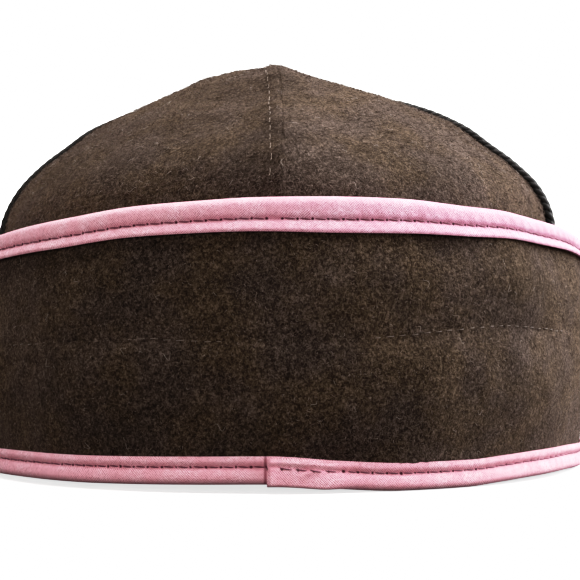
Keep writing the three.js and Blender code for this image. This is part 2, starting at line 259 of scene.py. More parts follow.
# in mm, and in shares of a hair's length; "kneeUp" and "tipUp" hold one of each
hairShape = {
    "rooted": 0.15, "kneeUp": (0.12, 0.35), "kneeAlong": 0.5, "kneeThick": 0.8,
    "tipUp": (0.16, 0.55), "tipAside": 0.3,
}


def hairBodies(base, normal, heading, length, radius, lie):    # bent spikes; lie 0 stands up, 1 lies flat
    side = unit(np.cross(normal, heading))
    length, radius, lie = (np.broadcast_to(v, len(base))[:, None] for v in (length, radius, lie))
    standing = length * (1 - lie)
    knee = base + normal * (hairShape["kneeUp"][0] + hairShape["kneeUp"][1] * standing)
    knee += heading * length * hairShape["kneeAlong"]
    tip = base + normal * (hairShape["tipUp"][0] + hairShape["tipUp"][1] * standing) + heading * length
    tip += side * length * dice.uniform(-hairShape["tipAside"], hairShape["tipAside"], (len(base), 1))
    foot = base - normal * hairShape["rooted"]
    turn = [0, 2 * math.pi / 3, 4 * math.pi / 3]
    spokes = np.stack([math.cos(t) * side + math.sin(t) * normal for t in turn], 1) * radius[:, None]
    knees = knee[:, None] + spokes * hairShape["kneeThick"]
    points = np.concatenate([foot[:, None] + spokes, knees, tip[:, None]], 1)
    pattern = [(0, 2, 1), (0, 1, 4, 3), (1, 2, 5, 4), (2, 0, 3, 5), (3, 4, 6), (4, 5, 6), (5, 3, 6)]
    start = (np.arange(len(base)) * points.shape[1])[:, None]
    faces = []
    for corners in pattern:
        faces += (start + np.array(corners)).tolist()
    return points.reshape(-1, 3), faces


# the shapes that every piece hangs on

def hemPoint(angle, spread):           # a point of the hem's squarish oval, and its outward direction
    turn = np.radians(np.asarray(angle, float))
    across, along = (np.sign(v) * np.abs(v) ** (2 / cap["squareness"]) for v in (np.sin(turn), np.cos(turn)))
    power = cap["squareness"] - 1
    flat = np.zeros_like(across * spread)
    point = np.stack([cap["halfWidth"] * across * spread, cap["halfLength"] * along * spread, flat], -1)
    outX = np.sign(across) * np.abs(across) ** power / cap["halfWidth"]
    outY = np.sign(along) * np.abs(along) ** power / cap["halfLength"]
    return point, unit(np.stack([outX, outY, np.zeros_like(outX)], -1))


def besideHem(angle, outBy, height):
    point, out = hemPoint(angle, 1.0)
    point = point + out * np.asarray(outBy, float)[..., None]
    point[..., 2] = height
    return point


def roundLine(points, steps):          # a smooth line through points, by the centripetal rule
    ends = np.vstack([2 * points[0] - points[1], points, 2 * points[-1] - points[-2]])
    t = (np.arange(steps) / steps)[:, None]
    line = []
    for p0, p1, p2, p3 in zip(ends, ends[1:], ends[2:], ends[3:]):
        d0, d1, d2 = (math.sqrt(np.linalg.norm(b - a)) for a, b in ((p0, p1), (p1, p2), (p2, p3)))
        out1 = ((p1 - p0) / d0 - (p2 - p0) / (d0 + d1) + (p2 - p1) / d1) * d1
        out2 = ((p2 - p1) / d1 - (p3 - p1) / (d1 + d2) + (p3 - p2) / d2) * d1
        line.append(p1 + out1 * t + (3 * p2 - 3 * p1 - 2 * out1 - out2) * t ** 2
                    + (2 * p1 - 2 * p2 + out1 + out2) * t ** 3)
    return np.vstack(line + [points[-1:]])


profileRows = np.array(crown["profile"] + [crown["tip"]], float)
profileSteps = 60
profileLine = roundLine(
    np.stack([profileRows[:, 1] * cap["halfWidth"], profileRows[:, 2], profileRows[:, 0]], -1), profileSteps)
profileShare = lengthAlong(profileLine, 0)
profileShare /= profileShare[(len(crown["profile"]) - 1) * profileSteps]     # 1 where the sewn panels end
tipShare = profileShare[-1]


def acrossPanel(angle):                # -1 and 1 at the seams, 0 in the middle of a panel
    turned = np.mod(angle, 360)
    i = np.clip(np.searchsorted(crown["seams"], turned) - 1, 0, len(crown["seams"]) - 2)
    seams = np.array(crown["seams"], float)
    return 2 * (turned - seams[i]) / (seams[i + 1] - seams[i]) - 1


def plainCrownPoint(angle, along, flatness):
    along = np.clip(along, 0, tipShare)
    reach, lean, rise = (np.interp(along, profileShare, profileLine[:, k]) for k in range(3))
    spread = reach / cap["halfWidth"]
    flat = flatness * between(crown["flatAtTop"], crown["flatAtHem"], np.minimum(spread, 1))
    point, _ = hemPoint(angle, spread * (1 - flat * (1 - acrossPanel(angle) ** 2)))
    nearSeam = bell(turnBetween(angle), crown["seamReach"])
    point[..., 0] += lean + tableValue(profileRows, 3, rise) * nearSeam
    backward = np.clip(np.cos(np.radians(angle)), 0, 1) ** crown["backPower"]
    point[..., 1] += tableValue(profileRows, 4, rise) * backward
    point[..., 2] += rise
    return point


def crownNormal(angle, along):
    up = plainCrownPoint(angle, along + 0.01, 0) - plainCrownPoint(angle, along - 0.01, 0)
    around = plainCrownPoint(angle + 1, along, 0) - plainCrownPoint(angle - 1, along, 0)
    return unit(np.cross(up, around))


def crownPoint(angle, along, lift):
    point = plainCrownPoint(angle, along, 1)
    out = np.asarray(lift, float) + 0 * point[..., 0]
    ridge = crown["ridge"]
    aside = np.clip(1 - np.abs(np.radians(turnBetween(angle))) * cap["halfLength"] / ridge["reach"], 0, 1)
    tall = smooth(ridge["from"], ridge["full"], point[..., 2])
    tall = tall * (1 - smooth(ridge["fades"], ridge["gone"], point[..., 2]))
    out = out + ridge["high"] * aside ** 2 * tall
    for foldAngle, rise, wide, high, outBy in crown["folds"]:
        out = out + outBy * bell(turnBetween(angle, foldAngle), wide) * bell(point[..., 2] - rise, high)
    return point + crownNormal(angle, along) * out[..., None]


def bandEdge(angle, column):
    return tableValue(band["edges"], column, turnBetween(angle))


def bandReach(angle, height):          # of the band's inner face from the hem
    sideways = np.sin(np.radians(angle)) ** 2
    flare = between(band["backFlare"], band["sideFlare"], sideways)
    standOff = between(band["backStandOff"], band["sideStandOff"], sideways)
    share = height / band["flareHeight"]
    drawn = band["drawIn"] * (1 - bell(height, band["drawHeight"]))
    fully = bell(turnBetween(angle, band["swellAngle"]), band["swellWidth"])
    swell = between(band["swellElsewhere"], 1, fully) * tableValue(band["swell"], 1, height)
    return standOff + flare * share + band["bulge"] * 4 * share * (1 - share) + drawn + swell


def besideBand(angle, outBy, height):  # points at a distance from the band's inner face
    return besideHem(angle + 0 * height, bandReach(angle, height) + outBy, height)


# wool cloth

wool = {                                         # sizes in mm
    "deep": (0.027, 0.0196, 0.0150), "body": (0.069, 0.0525, 0.0398), "light": (0.205, 0.166, 0.134),
    "grainSize": 0.72, "fibreSizes": (0.50, 0.575), "clumpSize": 2.0, "cloudSize": 15.0, "fleckSize": 0.75,
    "grainShare": 0.52, "fibreShare": 0.36, "clumpShare": 0.12, "tipShare": 0.72, "fleckShare": 0.80,
    "fibreTurns": (0.35, -0.9), "fibreStretch": (0.46, 0.42),        # the two ways that the fibres lie
    "bodyFrom": (0.42, 0.53), "tipsFrom": (0.51, 0.62), "flecksFrom": (0.60, 0.70),
    "shade": (0.84, 1.15), "shadeFrom": (0.3, 0.7),
    "olive": (1.03, 1.0, 0.93), "plum": (0.97, 0.975, 1.06), "hueSize": 19.0, "plumFrom": (0.38, 0.62),
    "surface": {"Roughness": 0.95, "Specular IOR Level": 0.12, "Sheen Weight": 0.25, "Sheen Roughness": 0.45,
                "Sheen Tint": (0.62, 0.48, 0.40, 1)},
    "bump": 0.9, "bumpHeight": 0.00050,
}


def node(tree, kind, inputs=None, **settings):
    made = tree.nodes.new("ShaderNode" + kind)
    for name, value in settings.items():
        setattr(made, name, value)
    for name, value in (inputs or {}).items():
        if isinstance(value, bpy.types.NodeSocket):
            tree.links.new(value, made.inputs[name])
        else:
            made.inputs[name].default_value = value
    return made


def calc(tree, operation, *values):
    return node(tree, "Math", dict(enumerate(values)), operation=operation).outputs[0]


def mixed(tree, share, a, b, blend="MIX"):
    a, b = (v if isinstance(v, bpy.types.NodeSocket) else (*v, 1) for v in (a, b))
    made = node(tree, "Mix", {0: share, 6: a, 7: b}, data_type="RGBA", blend_type=blend)
    return made.outputs[2]


def between01(tree, value, low, high):
    return node(tree, "MapRange", {"Value": value, "From Min": low, "From Max": high},
                interpolation_type="SMOOTHSTEP").outputs[0]


def newMaterial(name):
    material = bpy.data.materials.new(name)
    material.use_nodes = True
    return material, material.node_tree, material.node_tree.nodes["Principled BSDF"]


def millimetres(tree):
    coordinates = node(tree, "TexCoord").outputs["Object"]
    return node(tree, "VectorMath", {0: coordinates, "Scale": 1000.0}, operation="SCALE").outputs[0]


def cloud(tree, place, size, detail=3.0, rough=0.6, distortion=0.0):
    return node(tree, "TexNoise", {"Vector": place, "Scale": 1 / size, "Detail": detail, "Roughness": rough,
                                   "Distortion": distortion}).outputs["Fac"]


def scaled(tree, colour, by):           # a colour made lighter or darker
    return mixed(tree, 1.0, colour, node(tree, "CombineColor", {0: by, 1: by, 2: by}).outputs[0], "MULTIPLY")


def dress(tree, shader, tone, surface, relief=None, strength=0.0, depth=0.0):
    tree.links.new(tone, shader.inputs["Base Color"])
    if relief is not None:
        bump = node(tree, "Bump", {"Height": relief, "Strength": strength, "Distance": depth})
        tree.links.new(bump.outputs[0], shader.inputs["Normal"])
    for name, value in surface.items():
        shader.inputs[name].default_value = value


def woolMaterial(name):
    material, tree, shader = newMaterial(name)
    place = millimetres(tree)
    flat = node(tree, "UVMap", uv_map="cloth").outputs[0]
    grain = cloud(tree, place, wool["grainSize"], 4, 0.70, 0.5)
    lying = []
    for turn, stretch, size in zip(wool["fibreTurns"], wool["fibreStretch"], wool["fibreSizes"]):
        way = node(tree, "Mapping", {"Vector": flat, "Rotation": (0, 0, turn), "Scale": (1, stretch, 1)})
        lying.append(cloud(tree, way.outputs[0], size, 2, 0.6, 2.6))
    fibres = calc(tree, "MAXIMUM", *lying)
    felt = calc(tree, "MULTIPLY", cloud(tree, place, wool["clumpSize"], 2, 0.5), wool["clumpShare"])
    felt = calc(tree, "MULTIPLY_ADD", fibres, wool["fibreShare"], felt)
    felt = calc(tree, "MULTIPLY_ADD", grain, wool["grainShare"], felt)
    tone = mixed(tree, between01(tree, felt, *wool["bodyFrom"]), wool["deep"], wool["body"])
    tips = calc(tree, "MULTIPLY", between01(tree, felt, *wool["tipsFrom"]), wool["tipShare"])
    tone = mixed(tree, tips, tone, wool["light"])
    flecks = between01(tree, cloud(tree, place, wool["fleckSize"], 3, 0.6, 1.5), *wool["flecksFrom"])
    tone = mixed(tree, calc(tree, "MULTIPLY", flecks, wool["fleckShare"]), tone, wool["light"])
    shade = node(tree, "MapRange", {
        "Value": cloud(tree, place, wool["cloudSize"], 4, 0.6),
        "From Min": wool["shadeFrom"][0], "From Max": wool["shadeFrom"][1],
        "To Min": wool["shade"][0], "To Max": wool["shade"][1]}).outputs[0]
    patches = between01(tree, cloud(tree, place, wool["hueSize"], 3), *wool["plumFrom"])
    hue = mixed(tree, patches, wool["olive"], wool["plum"])
    tone = mixed(tree, 1.0, scaled(tree, tone, shade), hue, "MULTIPLY")
    dress(tree, shader, tone, wool["surface"], felt, wool["bump"], wool["bumpHeight"])
    return material


hair = {
    "nap hair": ((0.060, 0.042, 0.034), (0.25, 0.195, 0.165)),
    "pale fuzz": ((0.16, 0.128, 0.108), (0.42, 0.36, 0.32)),
    "pale lint": ((0.28, 0.24, 0.21), (0.56, 0.50, 0.46)),
    "patch": 1.8,                                # mm
    "surface": {"Roughness": 0.8, "Specular IOR Level": 0.2},
}


def hairMaterial(name):
    material, tree, shader = newMaterial(name)
    tone = mixed(tree, cloud(tree, millimetres(tree), hair["patch"], 2), *hair[name])
    dress(tree, shader, tone, hair["surface"])
    return material


crownWool = woolMaterial("crown wool")
bandWool = woolMaterial("band wool")
peakWool = woolMaterial("peak wool")
napHair = hairMaterial("nap hair")
fuzzHair = hairMaterial("pale fuzz")
lintHair = hairMaterial("pale lint")
print("materials for the wool are ready")


# crown: six panels sewn to each other

panels = {
    "pieces": ["back_left", "side_left", "front_left", "front_right", "side_right", "back_right"],
    "backColumns": 110, "backRows": 132, "otherColumns": 56, "otherRows": 84,
    "hiddenRows": 12, "hiddenShare": 0.27,       # the part that stands behind the ear band
    "edgeCrowding": 0.75, "overlap": 0.45, "tuckedEdge": 0.42, "tuckWidth": 0.7,
    "grooveDepth": 0.10, "grooveWidth": 1.0,
    "foldWidth": 4.3, "foldRise": 0.24, "stitchDip": 0.20, "hemShort": 0.8,
    "softDents": (0.26, 26), "smallDents": (0.12, 9), "felting": (0.05, 2.6),     # height, size in mm
    "pucker": (0.16, 8.5), "puckerWidth": 7,
    "roomFrom": 5, "roomTo": 22,                 # a panel narrower than this has no relief any more
    # the hem reaches out to the band's foot: up to which height, and how far round to the front
    "hemHeight": (6, 13), "hemAngle": (130, 146),
}


def panelGrid(start, end, columns, rows):
    u = np.linspace(0, 1, columns + 1)
    u = u - panels["edgeCrowding"] * np.sin(2 * math.pi * u) / (2 * math.pi)
    low = np.linspace(0, panels["hiddenShare"], panels["hiddenRows"], endpoint=False)
    along = np.concatenate([low, np.linspace(panels["hiddenShare"], tipShare, rows)])[:, None]
    reach = np.interp(along, profileShare, profileLine[:, 0])
    overlap = np.degrees(panels["overlap"] / np.maximum(reach, panels["overlap"] * 12))
    return between(start - overlap, end, u[None, :]), along + 0 * u[None, :]


def panelRelief(name, plain):
    fromStart = lengthAlong(plain, 1)
    width = fromStart[:, -1:]
    fromEnd = width - fromStart
    room = smooth(panels["roomFrom"], panels["roomTo"], width)
    edge = np.minimum(fromStart, fromEnd)
    relief = -panels["grooveDepth"] * bell(edge, panels["grooveWidth"]) * room
    relief -= panels["tuckedEdge"] * bell(fromStart, panels["tuckWidth"])
    if name == "back_left":            # the seam allowance is folded under this panel and sewn down
        fold = smooth(0.1, 1.9, fromStart) * (1 - smooth(-0.6, 1.4, fromStart - panels["foldWidth"]))
        relief += panels["foldRise"] * fold * room
        relief -= panels["stitchDip"] * bell(fromStart - panels["foldWidth"], 0.55) * room
    for height, size in (panels["softDents"], panels["smallDents"], panels["felting"]):
        relief += height * ripples(plain, size) * smooth(0, 8, edge + 4) * room
    height, size = panels["pucker"]
    relief += height * ripples(plain * [0.35, 0.35, 1], size) * bell(edge, panels["puckerWidth"]) * room
    upward = lengthAlong(plain, 0)
    return relief, np.stack([fromStart - width / 2, upward], -1)


crownGrids = {}
for i, name in enumerate(panels["pieces"]):
    back = name.startswith("back")
    angle, along = panelGrid(crown["seams"][i], crown["seams"][i + 1],
                             panels["backColumns" if back else "otherColumns"],
                             panels["backRows" if back else "otherRows"])
    plain = crownPoint(angle, along, 0)
    relief, cloth = panelRelief(name, plain)
    hem = bandReach(angle, plain[..., 2]) - panels["hemShort"]
    hem = hem * (1 - smooth(*panels["hemHeight"], plain[..., 2]))
    hem = hem * (1 - smooth(*panels["hemAngle"], np.abs(turnBetween(angle))))
    outer = crownPoint(angle, along, relief + np.maximum(hem, 0))
    inner = crownPoint(angle, along, -crown["thickness"])
    crownGrids[name] = outer, cloth
    points, faces = sheetBody(outer, inner)
    piece = makeMesh("crown_" + name, points, faces, crownWool, np.concatenate([cloth, cloth]))
    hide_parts("panel_" + name)
print("the crown's panels are sewn")


# threads: short stitches that dive into the cloth at both ends and are fullest in the middle

thread = {
    "tan thread": ((0.20, 0.155, 0.125), (0.52, 0.44, 0.38)),
    "quilting thread": ((0.10, 0.075, 0.06), (0.24, 0.19, 0.155)),
    "mauve thread": ((0.12, 0.032, 0.055), (0.28, 0.095, 0.14)),
    "patch": 0.5, "twist": 1.4, "twistUneven": 1.5, "bump": 0.5, "bumpHeight": 0.0001,
    "surface": {"Roughness": 0.6, "Sheen Weight": 0.3},
    "firstAt": 0.1, "archPower": 0.6, "endThickness": 0.7, "unevenAside": 0.4,
}


def threadMaterial(name):
    material, tree, shader = newMaterial(name)
    place = millimetres(tree)
    tone = mixed(tree, cloud(tree, place, thread["patch"], 2), *thread[name])
    wave = {"Vector": place, "Scale": thread["twist"], "Distortion": thread["twistUneven"]}
    twist = node(tree, "TexWave", wave, bands_direction="DIAGONAL").outputs["Fac"]
    dress(tree, shader, tone, thread["surface"], twist, thread["bump"], thread["bumpHeight"])
    return material


def stitchLines(line, normals, look):
    run = lengthAlong(line, 0)
    starts = np.arange(look["pitch"] * thread["firstAt"], run[-1] - look["pitch"], look["pitch"])
    starts = starts + dice.uniform(-look["uneven"], look["uneven"], len(starts))
    share = np.linspace(0, 1, look["rings"])
    at = starts[:, None] + look["pitch"] * look["seen"] * share
    points = np.stack([np.interp(at, run, line[:, k]) for k in range(3)], -1)
    up = unit(np.stack([np.interp(at, run, normals[:, k]) for k in range(3)], -1))
    arch = np.sin(math.pi * share) ** thread["archPower"]
    points += up * between(-look["dive"], look["proud"], arch)[None, :, None]
    across = unit(np.cross(up, np.gradient(points, axis=1)))
    aside = dice.normal(size=(len(starts), 1, 1)) * look["uneven"] * thread["unevenAside"]
    points += across * (aside + look["slant"] * (share - 0.5)[None, :, None])
    radii = look["radius"] * between(thread["endThickness"], 1, arch)
    return points, np.broadcast_to(radii, points.shape[:2]), up


def sew(name, line, normals, look, material, sides=6):
    points, faces = tubeBodies(*stitchLines(line, normals, look), sides=sides)
    makeMesh(name, points, faces, material)


def normalsOf(grid):
    return unit(np.cross(np.gradient(grid, axis=1), np.gradient(grid, axis=0)))


def lineOnPanel(name, distance):       # a line up a panel at a distance from its first seam
    outer, cloth = crownGrids[name]
    fromStart = cloth[..., 0] - cloth[:, :1, 0]
    normals = normalsOf(outer)
    rows = [i for i in range(len(outer)) if fromStart[i, -1] > 2.2 * distance]
    pick = [[np.interp(distance, fromStart[i], layer[i, :, k]) for k in range(3)]
            for layer in (outer, normals) for i in rows]
    return np.array(pick[:len(rows)]), np.array(pick[len(rows):])


seamStitch = {"pitch": 4.3, "seen": 0.46, "radius": 0.125, "dive": 0.32, "proud": 0.08, "rings": 6,
              "uneven": 0.30, "slant": 0.25, "fromSeam": 4.3, "lowest": 77}
tanThread = threadMaterial("tan thread")
line, lineNormals = lineOnPanel("back_left", seamStitch["fromSeam"])
showing = line[:, 2] > seamStitch["lowest"]
sew("crown_seam_stitches", line[showing], lineNormals[showing], seamStitch, tanThread)
print("the back seam is stitched down")


# cords over the seams behind the ears

cord = {
    # angle, share of the crown's rise at which it ends, radius low and high
    "cords": {"left": (75.5, 0.75, 1.45, 0.65), "right": (-75.5, 0.8, 1.65, 1.30)},
    "from": 0.24, "endRadius": 0.5, "thinnedShare": 0.1,
    "strands": 3, "twist": 7.5, "strandShare": 0.72, "sides": 9, "rings": 300, "nestle": 0.35,
    "wobble": 0.10, "wobbleLength": 2.9, "bump": 0.7, "bumpHeight": 0.0002,
    "dark": (0.0035, 0.0027, 0.0023), "light": (0.018, 0.0142, 0.0118), "lightFrom": (0.42, 0.66),
    "fibreSize": 0.35,                           # mm
    "surface": {"Roughness": 0.55, "Sheen Weight": 0.15, "Sheen Roughness": 0.4,
                "Sheen Tint": (0.6, 0.5, 0.42, 1)},
}


def cordMaterial():
    material, tree, shader = newMaterial("black brown cord")
    place = millimetres(tree)
    fine = cloud(tree, place, cord["fibreSize"], 3, 0.6, 0.8)
    tone = mixed(tree, between01(tree, fine, *cord["lightFrom"]), cord["dark"], cord["light"])
    dress(tree, shader, tone, cord["surface"], fine, cord["bump"], cord["bumpHeight"])
    return material


darkCord = cordMaterial()
for side, (angle, to, lowRadius, highRadius) in cord["cords"].items():
    share = np.linspace(0, 1, cord["rings"])
    radius = between(lowRadius, highRadius, share)
    fromEnd = np.minimum(share, 1 - share) / cord["thinnedShare"]
    radius = between(cord["endRadius"], radius, smooth(0, 1, fromEnd))
    along = between(cord["from"], to, share)
    route = crownPoint(angle + 0 * share, along, radius - cord["nestle"])
    up = crownNormal(angle + 0 * share, along)
    ahead = unit(np.gradient(route, axis=0))
    beside = unit(np.cross(ahead, up))
    up = np.cross(beside, ahead)
    run = lengthAlong(route, 0)
    lines = []
    for k in range(cord["strands"]):
        turn = (run / cord["twist"] + k / cord["strands"]) * 2 * math.pi
        wobble = 1 + cord["wobble"] * np.sin(run / cord["wobbleLength"] + k * 2.1)
        off = (1 - cord["strandShare"]) * radius * wobble
        lines.append(route + beside * (off * np.cos(turn))[:, None] + up * (off * np.sin(turn))[:, None])
    lines = np.array(lines)
    radii = np.broadcast_to(radius * cord["strandShare"], lines.shape[:2])
    points, faces = tubeBodies(lines, radii, np.broadcast_to(up, lines.shape), cord["sides"])
    piece = makeMesh("seam_cord_twist_" + side, points, faces, darkCord)
    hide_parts("seam_cord_" + side)
print("the cords are laid on")


# ear band: a wool wall quilted once round the head

quilted = {
    "around": 430, "levels": 46, "innerLevels": 10, "inset": 1.2,
    "creaseDepth": 0.42, "creaseWidth": 1.0,
    "softDents": (0.42, 34), "smallDents": (0.13, 10), "felting": (0.045, 2.6),
}


def quiltHeight(angle):
    low, high = bandEdge(angle, 2), bandEdge(angle, 1)
    return between(low, high, tableValue(band["quiltLine"], 1, turnBetween(angle)))


angle = np.linspace(0, 360, quilted["around"], endpoint=False)[:, None]
low, high = bandEdge(angle, 2) + quilted["inset"], bandEdge(angle, 1) - quilted["inset"]
height = between(low, high, np.linspace(0, 1, quilted["levels"])[None, :])
outer = besideBand(angle, band["thickness"], height)
relief = -quilted["creaseDepth"] * bell(height - quiltHeight(angle), quilted["creaseWidth"])
for rise, size in (quilted["softDents"], quilted["smallDents"], quilted["felting"]):
    relief = relief + rise * ripples(outer, size) * smooth(0, 6, np.minimum(height - low, high - height))
outer = besideBand(angle, band["thickness"] + relief, height)
innerHeight = between(low, high, np.linspace(1, 0, quilted["innerLevels"])[None, :])
inner = besideBand(angle, 0, innerHeight)
around = lengthAlong(np.vstack([outer, outer[:1]])[:, quilted["levels"] // 2], 0)[:, None]
cloth = np.concatenate([np.stack([around[:-1] + 0 * h, h], -1) for h in (height, innerHeight)], 1)
points, faces = ringBody(np.concatenate([outer, inner], 1))
piece = makeMesh("ear_band_wool", points, faces, bandWool, cloth, around[-1, 0])
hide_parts("ear_band")
bandGrid = outer

quiltStitch = {"pitch": 3.3, "seen": 0.55, "radius": 0.11, "dive": 0.30, "proud": 0.05, "rings": 6,
               "uneven": 0.35, "slant": 0.1}
angle = np.linspace(0, 360, 900)
height = quiltHeight(angle)
line = besideBand(angle, band["thickness"] - quilted["creaseDepth"] * 0.8, height)
quiltThread = threadMaterial("quilting thread")
sew("ear_band_quilt_stitches", line, hemPoint(angle, 1.0)[1], quiltStitch, quiltThread, sides=5)
print("the ear band is quilted")


# cotton bindings

binding = {
    "wall": 0.9, "swell": 0.24, "padded": 0.66, "lowerBound": 7.0, "around": 780,
    "stitchShare": 0.63, "stitchPitch": 3.7,
    "valleyDepth": 0.50, "valleyWidth": 0.55,
    "lipFlare": {"upper": 0.70, "lower": 0.22}, "lipRound": {"upper": 0.35, "lower": 1.25}, "crestReach": 1.9,
    "lipTurn": {"upper": 0.35, "lower": 0.75}, "lean": {"upper": 0.0, "lower": 1.4},
    "pucker": 0.16, "dimple": 0.30, "wander": 0.14,
    "threadPeriod": 0.60,                        # of the weave, mm
}

cotton = {
    "gap": (0.47, 0.21, 0.275), "body": (0.80, 0.46, 0.555), "worn": (0.90, 0.69, 0.79),
    # valley: painted shade for the stitched valley of the bindings
    "valley": (0.50, 0.19, 0.26), "holeShade": (0.09, 0.030, 0.045), "holeSize": 0.50,
    "shadow": (0.22, 0.06, 0.09),
    "warp": 0.30, "weft": 0.14, "weftPace": 0.93, "slub": 0.55, "slubShare": 0.60,
    "wobble": 0.9, "wobbleSize": 2.6, "ragged": 0.9, "raggedSize": 1.1,          # mm
    "bodyFrom": (0.33, 0.53), "wornFrom": (0.40, 0.72), "wornOn": (0.42, 0.66), "wornPatch": 5.0,
    "valleyShadeReach": (1.5, 0.25), "valleyShadeShare": 0.28,
    "foldAt": 0.30, "foldReach": (0.62, 0.12), "foldShare": 0.70,       # mm along the lower binding
    # painted light: tints on the wearer's right and on the left, where the left is painted lighter as if more
    # light fell there; the upper binding is painted cooler, and the lower warmer and lighter
    "tint": {
        "upper": ((0.93, 0.93, 0.985), (1.09, 1.09, 1.045)),
        "lower": ((1.01, 0.96, 0.93), (1.20, 1.18, 1.13)),
    },
    "paintedSideLight": (-60, 45),                          # mm across the cap
    "bump": 0.8, "bumpHeight": 0.00028,
    "surface": {"Roughness": 0.82, "Specular IOR Level": 0.25, "Sheen Weight": 0.15, "Sheen Roughness": 0.5,
                "Sheen Tint": (1, 0.86, 0.92, 1)},
}


def cottonMaterial(name, pitch):
    material, tree, shader = newMaterial("pink cotton " + name)
    flat = node(tree, "UVMap", uv_map="cloth").outputs[0]
    split = node(tree, "SeparateXYZ", {0: flat})
    u, v = split.outputs[0], split.outputs[1]
    place = millimetres(tree)
    wobble = calc(tree, "MULTIPLY", cloud(tree, place, cotton["wobbleSize"], 2), cotton["wobble"])
    pace = 2 * math.pi / binding["threadPeriod"]
    alongWarp = calc(tree, "ADD", calc(tree, "ADD", u, v), wobble)
    alongWeft = calc(tree, "SUBTRACT", calc(tree, "SUBTRACT", u, v), wobble)
    warp = calc(tree, "SINE", calc(tree, "MULTIPLY", alongWarp, pace))
    weft = calc(tree, "SINE", calc(tree, "MULTIPLY", alongWeft, pace * cotton["weftPace"]))
    weave = calc(tree, "MULTIPLY_ADD", weft, cotton["weft"], 0.5)
    weave = calc(tree, "MULTIPLY_ADD", warp, cotton["warp"], weave)
    slub = cloud(tree, place, cotton["slub"], 3, 0.7)
    slub = calc(tree, "MULTIPLY", slub, cotton["slubShare"])
    threads = calc(tree, "MULTIPLY_ADD", weave, 1 - cotton["slubShare"], slub)
    raised = between01(tree, threads, *cotton["bodyFrom"])
    tone = mixed(tree, raised, cotton["gap"], cotton["body"])
    worn = between01(tree, cloud(tree, place, cotton["wornPatch"], 4, 0.6), *cotton["wornFrom"])
    worn = calc(tree, "MULTIPLY", worn, between01(tree, threads, *cotton["wornOn"]))
    tone = mixed(tree, worn, tone, cotton["worn"])
    # painted shade: darker in the stitched valley
    valleyShade = between01(tree, calc(tree, "ABSOLUTE", v), *cotton["valleyShadeReach"])
    valleyShade = calc(tree, "MULTIPLY", valleyShade, cotton["valleyShadeShare"])
    tone = mixed(tree, valleyShade, tone, cotton["valley"])
    if name == "lower":                          # in the shadow of the folded end
        fromFold = calc(tree, "ABSOLUTE", calc(tree, "SUBTRACT", u, cotton["foldAt"]))
        nearFold = between01(tree, fromFold, *cotton["foldReach"])
        nearFold = calc(tree, "MULTIPLY", nearFold, cotton["foldShare"])
        tone = mixed(tree, nearFold, tone, cotton["shadow"])
    # painted shade in the needle holes: a dark spot at the start of each stitch
    step = calc(tree, "FRACT", calc(tree, "MULTIPLY_ADD", u, 1 / pitch, 0.5))
    du = calc(tree, "MULTIPLY", calc(tree, "SUBTRACT", step, 0.5), pitch)
    away = calc(tree, "SQRT", calc(tree, "MULTIPLY_ADD", du, du, calc(tree, "MULTIPLY", v, v)))
    ragged = calc(tree, "SUBTRACT", cloud(tree, place, cotton["raggedSize"], 3), 0.5)
    away = calc(tree, "MULTIPLY_ADD", ragged, cotton["ragged"], away)
    holeShade = between01(tree, away, cotton["holeSize"], cotton["holeSize"] * 0.35)
    tone = mixed(tree, holeShade, tone, cotton["holeShade"])
    # painted light: lighter towards the wearer's left, by place across the cap
    across = node(tree, "SeparateXYZ", {0: place}).outputs[0]
    paintedSideLight = mixed(tree, between01(tree, across, *cotton["paintedSideLight"]), *cotton["tint"][name])
    tone = mixed(tree, 1.0, tone, paintedSideLight, "MULTIPLY")
    dress(tree, shader, tone, cotton["surface"], threads, cotton["bump"], cotton["bumpHeight"])
    return material


# rows of the outer face, from the strip's edge to the fold, as shares of its depth
faceLevels = np.array([
    1, 0.985, 0.94, 0.87, 0.79, 0.73, 0.685, 0.655, 0.63, 0.605, 0.57, 0.52, 0.45, 0.37, 0.29, 0.21, 0.14,
    0.08, 0.035, 0.008, 0])


def bindingFace(depth, bound, run, lip):         # height of the outer face over the band; run in stitches
    valley = binding["stitchShare"] * bound
    phase = 2 * math.pi * run
    padded = np.sin(math.pi * np.clip(depth / bound / binding["padded"], 0, 1)) ** 0.8
    rise = binding["wall"] + binding["swell"] * padded
    rise = rise - binding["valleyDepth"] * bell(depth - valley, binding["valleyWidth"])
    rise = rise - binding["dimple"] * (0.5 + 0.5 * np.cos(phase)) ** 3 * bell(depth - valley, 0.8)
    rise = rise + binding["pucker"] * np.cos(phase + (depth - valley) * 1.1) * bell(depth - valley, 2.3)
    rise = rise + binding["lipFlare"][lip] * smooth(valley + 0.2, bound - 0.2, depth)
    rise = rise + binding["lean"][lip] * np.clip(1 - depth / valley, 0, 1)
    return rise - binding["lipTurn"][lip] * smooth(bound - binding["lipRound"][lip], bound, depth)


